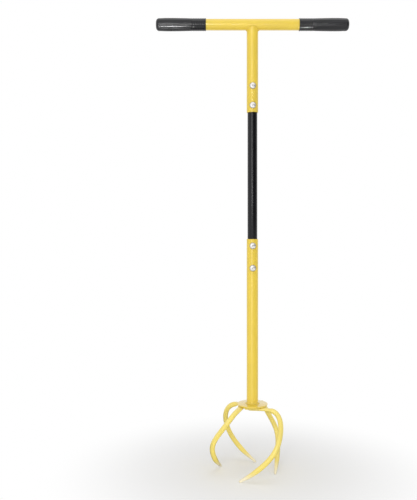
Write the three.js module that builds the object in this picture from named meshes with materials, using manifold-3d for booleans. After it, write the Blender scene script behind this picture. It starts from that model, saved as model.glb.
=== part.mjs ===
// Twist tiller: a four-tined garden claw on a bolted tube shaft with a T handle.
// Millimetres, +Z up. The origin is on the shaft's axis, on the ground that the tine tips touch.
// The crossbar runs along X, and the bolt heads face -Y.

import * as THREE from 'three';
import { mergeVertices } from 'three/addons/utils/BufferGeometryUtils.js';
import Module from 'manifold-3d';

const wasm = await Module();
wasm.setup();

// Clearances between pieces
const seatGap = 0.3;
const slipGap = 0.3;
const cutOverrun = 2;

// Shaft: two tubes of one size, and a thinner one that slips into both
const stemDiameter = 25;
const stemWall = 1.5;
const middleWall = 1.5;
const lowerTubeLength = 360;
const middleShownLength = 277;
const middleInsertLength = 80;
const upperStemLength = 193;
const tubeEdgeRound = 0.4;

// Crossbar
const barDiameter = 24.5;
const barWall = 1.5;
const handleWidth = 423;
const barWeldRadius = 2;
const barWeldReachShare = 0.93;

// Grips: ringed next to the stem, fluted over the palm and thickest at its outer part
const gripLength = 109.5;
const gripEndWall = 4;
const gripSwellDiameter = 28.8;
const gripSwellShare = 0.72;
const gripEndDiameter = 27.6;
const gripFlangeDiameter = 27.5;
const gripFlangeWidth = 3.4;
const gripRingDiameter = 27.1;
const gripGrooveDiameter = 26.2;
const gripRingPitch = 5.2;
const gripRingCount = 5;
const gripFluteCount = 12;
const gripFluteDepth = 0.6;
const gripNoseLength = 8;
const gripBlendLength = 4;

// Bolts through the two overlaps, with washers and lock nuts at the back
const boltDiameter = 6;
const boltClearance = 0.3;
const boltHeadDiameter = 14;
const boltHeadHeight = 3.8;
const boltHeadRim = 0.9;
const boltSocketWidth = 4;
const boltSocketDepth = 2.2;
const boltProud = 1.5;
const boltEdgeDistance = 14.5;
const lowerBoltPitch = 48.5;
const upperBoltPitch = 42.4;
const washerDiameter = 12.5;
const washerThickness = 1.2;
const nutWidth = 10;
const nutHexHeight = 4.6;
const nutCollarDiameter = 8.8;
const nutCollarHeight = 1.6;
const nutChamfer = 0.7;

// Hub plate, welded under the lower tube
const plateDiameter = 66;
const plateThickness = 3;
const plateChamfer = 0.6;
const footWeldLeg = 3;

// Claw: four rods pressed flat at the root, welded under the plate in a pinwheel, bent down and swept round
const clawDepth = 147;
const clawRadius = 85;
const tineDiameter = 11;
const tineTipDiameter = 4.6;
const tineTaperLength = 46;
const tineTaperPower = 1.35;
const tineFlatShare = 0.86;
const tineOffset = 20;
const tipStandHeight = 1.1;
const clawTurnDegrees = -11.7;
const clawDriftX = -13.8;
const rootThickness = 7;
const rootWidth = 13.8;
const rootBlendLength = 9;
const rootWeldWidth = 16.4;
const rootWeldHeight = 3;
const rootWeldReachShare = 0.5;

// Each tine is welded on turned by a few degrees more or less, as it was set by hand
const tineSetDegrees = { tine_front: 5.8, tine_left: -9.7, tine_rear: -1.6, tine_right: 7.5 };

// The free part of a tine, as shares of clawRadius, degrees round the shaft from +X,
// and shares of the fall from the rod's level under the plate to the ground
const tineStationShares = [
  { radius: 0.502, degrees: -28.4, fall: 0.011 },
  { radius: 0.665, degrees: -24.5, fall: 0.046 },
  { radius: 0.791, degrees: -25.9, fall: 0.12 },
  { radius: 0.874, degrees: -29.8, fall: 0.208 },
  { radius: 0.935, degrees: -34.7, fall: 0.297 },
  { radius: 0.982, degrees: -39.8, fall: 0.386 },
  { radius: 1.008, degrees: -44.7, fall: 0.479 },
  { radius: 0.995, degrees: -49.7, fall: 0.572 },
  { radius: 0.948, degrees: -55, fall: 0.66 },
  { radius: 0.887, degrees: -61.3, fall: 0.74 },
  { radius: 0.831, degrees: -69, fall: 0.814 },
  { radius: 0.786, degrees: -78.3, fall: 0.882 },
  { radius: 0.758, degrees: -89, fall: 0.944 },
  { radius: 0.754, degrees: -100.3, fall: 1 },
];

// Facets
const tubeSides = 32;
const gripSides = 3 * gripFluteCount;
const tineSides = 10;
const tineSteps = 42;
const weldSides = 6;
const weldSteps = 28;
const boltSides = 16;
const shankSides = 12;
const domeSteps = 4;
const noseSteps = 4;
const filletSteps = 3;

// Sizes that follow from the ones above
const stemRadius = stemDiameter / 2;
const stemBoreRadius = stemRadius - stemWall;
const middleRadius = stemBoreRadius - slipGap;
const barRadius = barDiameter / 2;
const plateRadius = plateDiameter / 2;
const holeRadius = boltDiameter / 2 + boltClearance;

const plateBottom = clawDepth;
const plateTop = plateBottom + plateThickness;
const lowerTubeFoot = plateTop + seatGap;
const lowerTubeTop = lowerTubeFoot + lowerTubeLength;
const upperStemFoot = lowerTubeTop + middleShownLength;
const barHeight = upperStemFoot + upperStemLength;
const middleFoot = lowerTubeTop - middleInsertLength;
const middleTop = upperStemFoot + middleInsertLength;
const rootLevel = plateBottom - seatGap - rootThickness / 2;
const rimCrossing = Math.sqrt(plateRadius ** 2 - (tineOffset - rootWidth / 2) ** 2);

const boltHeights = {
  lower_inner: lowerTubeTop - boltEdgeDistance - lowerBoltPitch,
  lower_outer: lowerTubeTop - boltEdgeDistance,
  upper_outer: upperStemFoot + boltEdgeDistance,
  upper_inner: upperStemFoot + boltEdgeDistance + upperBoltPitch,
};

// Finishes
const yellowPaint = new THREE.MeshStandardMaterial({ color: 0xf6d24f, roughness: 0.4, metalness: 0 });
const blackPaint = new THREE.MeshStandardMaterial({ color: 0x2a2a2d, roughness: 0.35, metalness: 0 });
const gripPlastic = new THREE.MeshStandardMaterial({ color: 0x3a3a3d, roughness: 0.5, metalness: 0 });
const boltSteel = new THREE.MeshStandardMaterial({ color: 0xd8d8da, roughness: 0.25, metalness: 1 });

// Drops the triangles that a pole or a seam has flattened, and turns the faces outwards
function closedGeometry(geometry) {
  const bare = geometry.clone();
  bare.deleteAttribute('normal');
  bare.deleteAttribute('uv');
  const merged = mergeVertices(bare);
  const corners = merged.getAttribute('position');
  const index = merged.getIndex().array;
  const kept = [];
  let volume = 0;
  const a = new THREE.Vector3();
  const b = new THREE.Vector3();
  const c = new THREE.Vector3();
  for (let i = 0; i < index.length; i += 3) {
    const [p, q, r] = [index[i], index[i + 1], index[i + 2]];
    if (p === q || q === r || r === p) continue;
    kept.push(p, q, r);
    a.fromBufferAttribute(corners, p);
    b.fromBufferAttribute(corners, q);
    c.fromBufferAttribute(corners, r);
    volume += a.dot(b.cross(c));
  }
  if (volume < 0) kept.reverse();
  merged.setIndex(kept);
  return merged;
}

function solidOf(geometry) {
  const closed = closedGeometry(geometry);
  return new wasm.Manifold(new wasm.Mesh({
    numProp: 3,
    vertProperties: new Float32Array(closed.getAttribute('position').array),
    triVerts: new Uint32Array(closed.getIndex().array),
  }));
}

function geometryOf(solid) {
  const { vertProperties, triVerts } = solid.getMesh();
  const geometry = new THREE.BufferGeometry();
  geometry.setAttribute('position', new THREE.BufferAttribute(new Float32Array(vertProperties), 3));
  geometry.setIndex(new THREE.BufferAttribute(new Uint32Array(triVerts), 1));
  geometry.computeVertexNormals();
  return geometry;
}

// A profile of [radius, height] pairs turned round the Z axis
function revolve(profile, sides) {
  const points = profile.map(([radius, height]) => new THREE.Vector2(radius, height));
  return closedGeometry(new THREE.LatheGeometry(points, sides).rotateX(Math.PI / 2));
}

// A skin over rings of points, closed by a fan at each end or, where it loops, onto itself
function loft(rings, loops = false) {
  const count = rings[0].length;
  const points = rings.flat();
  const index = [];
  const spans = loops ? rings.length : rings.length - 1;
  for (let i = 0; i < spans; i += 1) {
    const near = i * count;
    const far = ((i + 1) % rings.length) * count;
    for (let j = 0; j < count; j += 1) {
      const k = (j + 1) % count;
      index.push(near + j, near + k, far + k, near + j, far + k, far + j);
    }
  }
  if (!loops) {
    for (const [start, flip] of [[0, true], [(rings.length - 1) * count, false]]) {
      const centre = new THREE.Vector3();
      for (let j = 0; j < count; j += 1) centre.addScaledVector(points[start + j], 1 / count);
      points.push(centre);
      for (let j = 0; j < count; j += 1) {
        const k = (j + 1) % count;
        const [p, q] = flip ? [start + k, start + j] : [start + j, start + k];
        index.push(p, q, points.length - 1);
      }
    }
  }
  const geometry = new THREE.BufferGeometry().setFromPoints(points);
  geometry.setIndex(index);
  return closedGeometry(geometry);
}

function tubeProfile(outer, inner, low, high) {
  return [
    [inner, low], [outer - tubeEdgeRound, low], [outer, low + tubeEdgeRound],
    [outer, high - tubeEdgeRound], [outer - tubeEdgeRound, high], [inner, high], [inner, low],
  ];
}

// Holes for the bolts, bored through both walls along Y
function boltHoles(names) {
  const length = stemDiameter + 2 * cutOverrun;
  return names.map((name) => {
    const drill = new THREE.CylinderGeometry(holeRadius, holeRadius, length, shankSides);
    return solidOf(drill.translate(0, 0, boltHeights[name]));
  });
}

function makeLowerTube() {
  const top = lowerTubeTop - tubeEdgeRound;
  const profile = [[stemBoreRadius, lowerTubeFoot]];
  for (let i = 0; i <= filletSteps; i += 1) {
    const turn = (i / filletSteps) * Math.PI / 2;
    const out = footWeldLeg * (1 - Math.sin(turn));
    profile.push([stemRadius + out, lowerTubeFoot + footWeldLeg * (1 - Math.cos(turn))]);
  }
  profile.push([stemRadius, top], [stemRadius - tubeEdgeRound, lowerTubeTop]);
  profile.push([stemBoreRadius, lowerTubeTop], [stemBoreRadius, lowerTubeFoot]);
  let solid = solidOf(revolve(profile, tubeSides));
  for (const hole of boltHoles(['lower_inner', 'lower_outer'])) solid = solid.subtract(hole);
  return geometryOf(solid);
}

function makeMiddleTube() {
  const bore = middleRadius - middleWall;
  let solid = solidOf(revolve(tubeProfile(middleRadius, bore, middleFoot, middleTop), tubeSides));
  for (const hole of boltHoles(Object.keys(boltHeights))) solid = solid.subtract(hole);
  return geometryOf(solid);
}

// The weld round the saddle where the stem meets the crossbar
function barWeld() {
  const rings = [];
  for (let i = 0; i < weldSteps; i += 1) {
    const turn = (i / weldSteps) * 2 * Math.PI;
    const across = barWeldReachShare * barRadius * Math.sin(turn);
    const height = barHeight - Math.sqrt(barRadius ** 2 - across ** 2);
    const outward = new THREE.Vector3(Math.cos(turn), Math.sin(turn), 0);
    const centre = outward.clone().multiplyScalar(stemRadius).setZ(height);
    const ring = [];
    for (let j = 0; j < weldSides; j += 1) {
      const roll = (j / weldSides) * 2 * Math.PI;
      const point = centre.clone().addScaledVector(outward, barWeldRadius * Math.cos(roll));
      ring.push(point.setZ(height + barWeldRadius * Math.sin(roll)));
    }
    rings.push(ring);
  }
  return solidOf(loft(rings, true));
}

// The upper stem is coped to the crossbar at its top
function makeUpperStem() {
  const profile = [
    [stemBoreRadius, upperStemFoot], [stemRadius - tubeEdgeRound, upperStemFoot],
    [stemRadius, upperStemFoot + tubeEdgeRound], [stemRadius, barHeight],
    [stemBoreRadius, barHeight], [stemBoreRadius, upperStemFoot],
  ];
  const cope = new THREE.CylinderGeometry(
    barRadius + seatGap, barRadius + seatGap, 2 * (stemDiameter + cutOverrun), tubeSides,
  );
  cope.rotateZ(Math.PI / 2).translate(0, 0, barHeight);
  let solid = solidOf(revolve(profile, tubeSides)).add(barWeld()).subtract(solidOf(cope));
  const bore = new THREE.CylinderGeometry(stemBoreRadius, stemBoreRadius, 2 * stemRadius, tubeSides);
  bore.rotateX(Math.PI / 2).translate(0, 0, barHeight - stemRadius);
  solid = solid.subtract(solidOf(bore));
  for (const hole of boltHoles(['upper_inner', 'upper_outer'])) solid = solid.subtract(hole);
  return geometryOf(solid);
}

function makeCrossbar() {
  const half = handleWidth / 2 - gripEndWall - seatGap;
  return revolve(tubeProfile(barRadius, barRadius - barWall, -half, half), tubeSides);
}

// A grip's diameter at a share of its palm, on the crests of the flutes
function palmDiameter(share) {
  if (share < gripSwellShare) {
    const rise = Math.sin((share / gripSwellShare) * Math.PI / 2);
    return THREE.MathUtils.lerp(gripRingDiameter, gripSwellDiameter, rise);
  }
  const past = (share - gripSwellShare) / (1 - gripSwellShare);
  return THREE.MathUtils.lerp(gripSwellDiameter, gripEndDiameter, 1 - Math.cos(past * Math.PI / 2));
}

// Stations of a grip from its mouth to its nose: how far along, the radius and the flutes' depth
function gripStations() {
  const stations = [];
  const add = (along, diameter, flute) => stations.push({ along, radius: diameter / 2, flute });
  const edge = gripFlangeWidth / 4;
  add(0, gripGrooveDiameter, 0);
  add(edge, gripFlangeDiameter, 0);
  add(gripFlangeWidth - edge, gripFlangeDiameter, 0);
  for (let i = 0; i < gripRingCount; i += 1) {
    const start = gripFlangeWidth + i * gripRingPitch;
    add(start, gripGrooveDiameter, 0);
    add(start + gripRingPitch / 4, gripRingDiameter, 0);
    add(start + gripRingPitch * 3 / 4, gripRingDiameter, 0);
  }
  const palmStart = gripFlangeWidth + gripRingCount * gripRingPitch;
  const palmEnd = gripLength - gripNoseLength;
  const palm = palmEnd - palmStart;
  const blendShare = gripBlendLength / palm;
  add(palmStart, gripGrooveDiameter, 0);
  add(palmStart + gripBlendLength / 2, palmDiameter(blendShare / 2), 0);
  for (const share of [blendShare, 1 / 4, 1 / 2, gripSwellShare, 1 - blendShare]) {
    add(palmStart + palm * share, palmDiameter(share), gripFluteDepth);
  }
  for (let i = 0; i < noseSteps; i += 1) {
    const turn = (i / noseSteps) * Math.PI / 2;
    const flute = i === 0 ? gripFluteDepth / 2 : 0;
    add(palmEnd + gripNoseLength * Math.sin(turn), gripEndDiameter * Math.cos(turn) ** 0.5, flute);
  }
  return stations;
}

function gripRing({ along, radius, flute }) {
  const ring = [];
  for (let j = 0; j < gripSides; j += 1) {
    const turn = (j / gripSides) * 2 * Math.PI;
    const valley = (1 - Math.cos(gripFluteCount * turn)) / 2;
    const reach = radius - flute * valley;
    ring.push(new THREE.Vector3(along, reach * Math.cos(turn), reach * Math.sin(turn)));
  }
  return ring;
}

// A grip along +X from its mouth: a cup whose bore slips over the crossbar
function makeGrip() {
  const bore = barRadius + slipGap;
  const boreEnd = gripLength - gripEndWall;
  const pole = Array.from({ length: gripSides }, () => new THREE.Vector3(gripLength, 0, 0));
  return loft([
    gripRing({ along: boreEnd, radius: bore, flute: 0 }),
    gripRing({ along: 0, radius: bore, flute: 0 }),
    ...gripStations().map(gripRing),
    pole,
  ]);
}

function makePlate() {
  return revolve([
    [0, 0], [plateRadius - plateChamfer, 0], [plateRadius, plateChamfer],
    [plateRadius, plateThickness - plateChamfer], [plateRadius - plateChamfer, plateThickness],
    [0, plateThickness],
  ], tubeSides);
}

// Where a tine's root begins: beside the next tine, which lies across its end with so much more turn
function rootStart(moreDegrees) {
  const more = THREE.MathUtils.degToRad(moreDegrees);
  const side = tineOffset - rootWeldWidth / 2;
  const corner = more > 0 ? side + rootWeldWidth : side;
  const along = (corner - side * Math.sin(more)) / Math.cos(more);
  return along * Math.sin(more) - side * Math.cos(more) + seatGap;
}

// The middle line of a tine, from its root under the plate to its tip
function tineCurve(start, turn) {
  const fall = rootLevel - tipStandHeight;
  const rootEnd = rootWeldReachShare * plateRadius;
  const points = [start, (start + rootEnd) / 2, rootEnd].map((x) => ({
    radius: Math.hypot(x, tineOffset), angle: Math.atan2(-tineOffset, x), drop: 0,
  }));
  for (const share of tineStationShares) {
    const angle = THREE.MathUtils.degToRad(share.degrees);
    points.push({ radius: share.radius * clawRadius, angle, drop: share.fall });
  }
  const placed = points.map(({ radius, angle, drop }) => {
    const x = radius * Math.cos(turn + angle) + clawDriftX * drop;
    return new THREE.Vector3(x, radius * Math.sin(turn + angle), rootLevel - drop * fall);
  });
  return new THREE.CatmullRomCurve3(placed, false, 'centripetal');
}

// Half the height and half the width of a tine, so far past the plate's rim and so far from its tip
function tineSection(past, left) {
  const round = tineDiameter / 2;
  const blend = THREE.MathUtils.smoothstep(past, round, round + rootBlendLength);
  const forged = THREE.MathUtils.clamp(1 - left / tineTaperLength, 0, 1);
  const slim = THREE.MathUtils.lerp(round, tineTipDiameter / 2, forged ** tineTaperPower);
  const flat = THREE.MathUtils.lerp(1, tineFlatShare, forged);
  return {
    high: THREE.MathUtils.lerp(rootThickness / 2, slim, blend),
    wide: THREE.MathUtils.lerp(rootWidth / 2, slim * flat, blend),
  };
}

// A rod pressed flat at its root, round to the bend, then forged slimmer to a blunt tip
function tineRod(start, turn) {
  const curve = tineCurve(start, turn);
  const length = curve.getLength();
  const frames = curve.computeFrenetFrames(tineSteps, false);
  const rings = [];
  for (let i = 0; i <= tineSteps; i += 1) {
    const along = length * i / tineSteps;
    const { high, wide } = tineSection(along + start - rimCrossing, length - along);
    const centre = curve.getPointAt(i / tineSteps);
    const ring = [];
    for (let j = 0; j < tineSides; j += 1) {
      const roll = (j / tineSides) * 2 * Math.PI;
      ring.push(centre.clone()
        .addScaledVector(frames.normals[i], high * Math.cos(roll))
        .addScaledVector(frames.binormals[i], wide * Math.sin(roll)));
    }
    rings.push(ring);
  }
  return solidOf(loft(rings));
}

// The weld beads on both sides of a root, as one bar of their section that the rod runs through
function rootWeld(start, turn) {
  const length = rootWeldReachShare * plateRadius - start;
  const foot = rootWeldWidth / 2;
  const toe = rootWidth / 2;
  const section = new THREE.Shape();
  section.moveTo(-foot, 0);
  section.quadraticCurveTo(-toe, 0, -toe, -rootWeldHeight);
  section.lineTo(toe, -rootWeldHeight);
  section.quadraticCurveTo(toe, 0, foot, 0);
  section.closePath();
  const bar = new THREE.ExtrudeGeometry(section, {
    depth: length, bevelEnabled: false, curveSegments: filletSteps,
  });
  bar.rotateX(Math.PI / 2).rotateZ(Math.PI / 2);
  bar.translate(start, -tineOffset, plateBottom - seatGap);
  return solidOf(bar.rotateZ(turn));
}

function makeTine(order) {
  const sets = Object.values(tineSetDegrees);
  const start = rootStart(sets[(order + 1) % sets.length] - sets[order]);
  const turn = THREE.MathUtils.degToRad(clawTurnDegrees + sets[order] - order * 90);
  const reach = 2 * (clawRadius + plateRadius);
  const ground = new THREE.BoxGeometry(reach, reach, clawDepth).translate(0, 0, -clawDepth / 2);
  return geometryOf(tineRod(start, turn).add(rootWeld(start, turn)).subtract(solidOf(ground)));
}

// A bolt along Z: domed head above its seat, hex socket, shank below
function makeBolt() {
  const shank = stemDiameter + 3 * seatGap + washerThickness + nutHexHeight + nutCollarHeight + boltProud;
  const radius = boltHeadDiameter / 2;
  const dome = boltHeadHeight - boltHeadRim;
  const profile = [[0, 0], [radius, 0]];
  for (let i = 0; i < domeSteps; i += 1) {
    const turn = (i / domeSteps) * Math.PI / 2;
    profile.push([radius * Math.cos(turn), boltHeadRim + dome * Math.sin(turn)]);
  }
  profile.push([0, boltHeadHeight]);
  const head = solidOf(revolve(profile, boltSides));
  const rod = new THREE.CylinderGeometry(
    boltDiameter / 2, boltDiameter / 2, shank + boltHeadRim, shankSides,
  );
  rod.rotateX(Math.PI / 2).translate(0, 0, (boltHeadRim - shank) / 2);
  const corner = boltSocketWidth / 2 / Math.cos(Math.PI / 6);
  const key = new THREE.CylinderGeometry(corner, corner, boltSocketDepth + cutOverrun, 6);
  key.rotateX(Math.PI / 2).translate(0, 0, boltHeadHeight + (cutOverrun - boltSocketDepth) / 2);
  return geometryOf(head.add(solidOf(rod)).subtract(solidOf(key)));
}

function makeWasher() {
  return revolve([
    [holeRadius, 0], [washerDiameter / 2, 0], [washerDiameter / 2, washerThickness],
    [holeRadius, washerThickness], [holeRadius, 0],
  ], boltSides);
}

// A lock nut along Z: a hexagon with its corners turned off, and a round collar on top
function makeNut() {
  const corner = nutWidth / 2 / Math.cos(Math.PI / 6);
  const height = nutHexHeight + nutCollarHeight;
  const hexagon = new THREE.CylinderGeometry(corner, corner, nutHexHeight, 6);
  hexagon.rotateX(Math.PI / 2).translate(0, 0, nutHexHeight / 2);
  const turned = revolve([
    [0, 0], [corner - nutChamfer, 0], [corner, nutChamfer], [corner, nutHexHeight - nutChamfer],
    [corner - nutChamfer, nutHexHeight], [0, nutHexHeight],
  ], boltSides);
  const collar = new THREE.CylinderGeometry(
    nutCollarDiameter / 2, nutCollarDiameter / 2, height, boltSides,
  );
  const bore = new THREE.CylinderGeometry(holeRadius, holeRadius, height + 2 * cutOverrun, shankSides);
  for (const round of [collar, bore]) round.rotateX(Math.PI / 2).translate(0, 0, height / 2);
  const body = solidOf(hexagon).intersect(solidOf(turned)).add(solidOf(collar));
  return geometryOf(body.subtract(solidOf(bore)));
}

function piece(name, geometry, material) {
  const mesh = new THREE.Mesh(geometry, material);
  mesh.name = name;
  return mesh;
}

// The handle's pieces lie along X, at the crossbar's height
function makeHandle() {
  const handle = new THREE.Group();
  handle.position.z = barHeight;
  const bar = piece('crossbar', makeCrossbar(), yellowPaint);
  bar.rotation.y = Math.PI / 2;
  handle.add(bar);
  const mouth = handleWidth / 2 - gripLength;
  const right = piece('grip_right', makeGrip(), gripPlastic);
  right.position.x = mouth;
  const left = piece('grip_left', makeGrip(), gripPlastic);
  left.rotation.z = Math.PI;
  left.position.x = -mouth;
  handle.add(left, right);
  return handle;
}

function makeShaft() {
  const shaft = new THREE.Group();
  shaft.add(piece('upper_stem', makeUpperStem(), yellowPaint));
  shaft.add(piece('middle_tube', makeMiddleTube(), blackPaint));
  shaft.add(piece('lower_tube', makeLowerTube(), yellowPaint));
  return shaft;
}

// A bolt, its washer and its nut at each height, on one axis along Y
function makeFasteners() {
  const fasteners = new THREE.Group();
  for (const [place, height] of Object.entries(boltHeights)) {
    const set = new THREE.Group();
    set.position.z = height;
    const bolt = piece(`bolt_${place}`, makeBolt(), boltSteel);
    bolt.rotation.x = Math.PI / 2;
    bolt.position.y = -stemRadius - seatGap;
    const washer = piece(`washer_${place}`, makeWasher(), boltSteel);
    washer.rotation.x = -Math.PI / 2;
    washer.position.y = stemRadius + seatGap;
    const nut = piece(`nut_${place}`, makeNut(), boltSteel);
    nut.rotation.x = -Math.PI / 2;
    nut.position.y = washer.position.y + washerThickness + seatGap;
    set.add(bolt, washer, nut);
    fasteners.add(set);
  }
  return fasteners;
}

function makeClaw() {
  const claw = new THREE.Group();
  const plate = piece('hub_plate', makePlate(), yellowPaint);
  plate.position.z = plateBottom;
  claw.add(plate);
  Object.keys(tineSetDegrees).forEach((name, order) => {
    claw.add(piece(name, makeTine(order), yellowPaint));
  });
  return claw;
}

const twistTiller = new THREE.Group();
twistTiller.add(makeHandle(), makeShaft(), makeFasteners(), makeClaw());

export default twistTiller;
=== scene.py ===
import math

import bmesh
import bpy
from mathutils import Matrix, Vector


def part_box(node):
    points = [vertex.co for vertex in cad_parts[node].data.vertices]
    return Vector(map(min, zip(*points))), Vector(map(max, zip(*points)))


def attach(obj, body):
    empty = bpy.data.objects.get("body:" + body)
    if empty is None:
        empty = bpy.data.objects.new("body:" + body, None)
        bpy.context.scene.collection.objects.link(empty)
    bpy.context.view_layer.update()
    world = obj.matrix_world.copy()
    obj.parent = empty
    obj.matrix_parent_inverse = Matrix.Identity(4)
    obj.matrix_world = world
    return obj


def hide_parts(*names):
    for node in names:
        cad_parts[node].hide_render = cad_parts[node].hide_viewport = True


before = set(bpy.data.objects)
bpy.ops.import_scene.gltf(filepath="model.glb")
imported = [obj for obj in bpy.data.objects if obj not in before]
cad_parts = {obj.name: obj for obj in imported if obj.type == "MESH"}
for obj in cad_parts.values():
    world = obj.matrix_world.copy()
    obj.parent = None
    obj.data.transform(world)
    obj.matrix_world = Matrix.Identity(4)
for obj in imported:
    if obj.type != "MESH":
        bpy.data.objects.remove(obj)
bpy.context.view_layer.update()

bl_info = {
    "name": "Twist Tiller",
    "version": (1, 0, 0),
    "blender": (4, 5, 0),
    "location": "3D View > Sidebar > Tiller",
    "description": "Dresses the packed model of a twist tiller and sets up its studio",
    "category": "Add Mesh",
}

BODY = "root"
PLACES = ("upper_inner", "upper_outer", "lower_outer", "lower_inner")
SIDES = ("front", "left", "rear", "right")
UP = Vector((0, 0, 1))
QUARTER_TURN = math.pi / 2

# How near is taken as the same place, and how steep an edge has to be to stay sharp
CLOSE = 1e-5
MERGE = 1e-6
CREASE = math.radians(38)

# Marks that the meshes carry for their materials
WELD_MARK = "weld"
RECESS_MARK = "recess"

# Facets round each form, and steps along its curves
TUBE_FACETS = 96
STEM_FACETS = 192
FOOT_FACETS = 228
FOOT_STEPS = 8
PLATE_FACETS = 128
FLUTE_FACETS = 12
RING_STEPS = 10
PALM_STEPS = 40
NOSE_STEPS = 12
TINE_FACETS = 28
TINE_STEPS = 200
SPLINE_STEPS = 24
BEAD_FACETS = 12
BEAD_STEPS = 72
FASTENER_FACETS = 48
DOME_STEPS = 14

# Small forms that no size on the panel sets
TIP_ROUND = 0.0014
TIP_BLUNT_SHARE = 0.62
FOOT_BULGE_SHARE = 0.12
THREADED_LENGTH = 0.009
THREAD_DEPTH_SHARE = 0.45
NUT_FACE_SHARE = 0.97
BOLT_TWISTS = {"upper_inner": 11, "upper_outer": 38, "lower_outer": 52, "lower_inner": 24}

# Powers under 1 that make a ring, the nose and a flute's valley fuller than a plain sine
RING_POWER = 0.35
NOSE_POWER = 0.5
VALLEY_POWER = 0.75

# Grime and painted shade on a bolt, from 0 for none to 1: in its socket, between its threads and round its
# rim, where a dark ring of painted shade grows over a span of shares of the radius
SOCKET_SHADE_AND_GRIME = 0.28
THREAD_SHADE_AND_GRIME = 0.5
RIM_SHADE_AND_GRIME = 0.75
RIM_SHADE_AND_GRIME_SPAN = (0.72, 0.92)

# Beads beside a tine's root
ROOT_OVERLAP = 0.0012
ROOT_BEVEL_LENGTH = 0.014
ROOT_BEVEL_SHARE = 0.4
BEAD_SINK = 0.0008
BEAD_RIPPLES = 13
BEAD_SWELL_SHARE = 0.09
BEAD_CAP_SHARE = 0.04
BEAD_SQUARE = 12

# The shares that a tine's free part goes through: radius, degrees round the shaft and fall
TINE_STATIONS = (
    (0.502, -28.4, 0.011),
    (0.665, -24.5, 0.046),
    (0.791, -25.9, 0.12),
    (0.874, -29.8, 0.208),
    (0.935, -34.7, 0.297),
    (0.982, -39.8, 0.386),
    (1.008, -44.7, 0.479),
    (0.995, -49.7, 0.572),
    (0.948, -55, 0.66),
    (0.887, -61.3, 0.74),
    (0.831, -69, 0.814),
    (0.786, -78.3, 0.882),
    (0.758, -89, 0.944),
    (0.754, -100.3, 1),
)

# Degrees that each tine is set further round than a quarter turn from the one before
TINE_SETS = (5.8, -9.7, -1.6, 7.5)

# How much clear gloss lies over each powder coat: it flows out smoothest on flat sheet
SHAFT_GLOSS = 0.25
TINE_GLOSS = 0.5
PLATE_GLOSS = 1.0

# Heights over which the pale coat of a tine's tip, partly worn and partly a painted highlight, ends, and
# lengths from the palm's start over which the smoother gloss of the rings does
TIP_WEAR_AND_HIGHLIGHT = (0.003, 0.026)
RING_SHINE = (-0.003, 0.005)

# Colours that no setting on the panel changes
WHITE = (1, 1, 1, 1)
DUST_GREY = (0.12, 0.12, 0.125, 1)
# Dark brown of the painted shade and grime on the bolts
SHADE_AND_GRIME_BROWN = (0.11, 0.09, 0.085, 1)
FELT_DARK = (0.012, 0.012, 0.012, 1)
FELT_PALE = (0.022, 0.022, 0.022, 1)

# Floor and black cards: the tall one stands so many degrees round to the right, the round one lies flat
FLOOR_RADIUS = 40.0
FLOOR_FACETS = 64
FLOOR_GAP = 0.0001
ROUND_CARD_RADIUS = 0.36
ROUND_CARD_FACETS = 48
ROUND_CARD_PLACE = (0, 0.08, 0.004)
TALL_CARD_DEGREES = 50
TALL_CARD_DISTANCE = 2.7
TALL_CARD_WIDTH = 4.2
TALL_CARD_HEIGHT = 2.1
TALL_CARD_LEVEL = 1.1

# Width of the camera's sensor in millimetres
SENSOR_WIDTH = 36


def cad_box(node):
    low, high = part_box(node)
    return Vector(low), Vector(high)


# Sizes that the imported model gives
BAR_LOW, BAR_HIGH = cad_box("crossbar")
STEM_LOW = cad_box("upper_stem")[0]
MIDDLE_LOW, MIDDLE_HIGH = cad_box("middle_tube")
TUBE_LOW, TUBE_HIGH = cad_box("lower_tube")
PLATE_LOW, PLATE_HIGH = cad_box("hub_plate")
GRIP_LOW, GRIP_HIGH = cad_box("grip_right")
BAR_RADIUS = (BAR_HIGH.z - BAR_LOW.z) / 2
BAR_LEVEL = (BAR_HIGH.z + BAR_LOW.z) / 2
MIDDLE_RADIUS = (MIDDLE_HIGH.x - MIDDLE_LOW.x) / 2
PLATE_RADIUS = (PLATE_HIGH.x - PLATE_LOW.x) / 2

# Each lamp's place, the point that it is aimed at, its width, height and spread in degrees
LAMPS = {
    "claw": ((0.5, -0.9, 0.04), (-0.112, 0, 0.035), 0.1, 0.1, 9),
    "key": ((-0.65, -2.4, 1.05), (0, 0, BAR_LEVEL / 2), 0.6, 1.4, 180),
    "front": ((-0.1, -2.4, 0.56), (0, 0, BAR_LEVEL / 2), 1.6, 0.12, 180),
    "strip": ((-0.1, -2.4, 0.56), (0, 0, BAR_LEVEL), 1.6, 0.12, 24),
    "top": ((0.1, -0.3, 2.6), (0, 0, BAR_LEVEL / 2), 1.8, 1.4, 180),
    "low_left": ((-0.25, -0.72, 0.06), (-0.207, 0, BAR_LEVEL), 0.12, 0.03, 3.8),
    "low_right": ((0.235, -0.3, 0.06), (0.112, 0, BAR_LEVEL), 0.012, 0.03, 1.2),
}

# Lamps that gloss doesn't mirror, and lamps that only draw a streak on the gloss
SOFT_LAMPS = ("claw", "front")
STREAK_LAMPS = ("strip", "low_left", "low_right")


def length_setting(name, description, default):
    return bpy.props.FloatProperty(
        name=name, description=description, default=default, subtype="DISTANCE", unit="LENGTH"
    )


def share_setting(name, description, default):
    return bpy.props.FloatProperty(name=name, description=description, default=default, subtype="FACTOR")


def power_setting(name, description, default):
    return bpy.props.FloatProperty(name=name, description=description, default=default, subtype="POWER")


def plain_setting(name, description, default):
    return bpy.props.FloatProperty(name=name, description=description, default=default)


def count_setting(name, description, default):
    return bpy.props.IntProperty(name=name, description=description, default=default)


def colour_setting(name, description, default):
    return bpy.props.FloatVectorProperty(
        name=name, description=description, default=default, subtype="COLOR", size=3, min=0, max=1
    )


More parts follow.
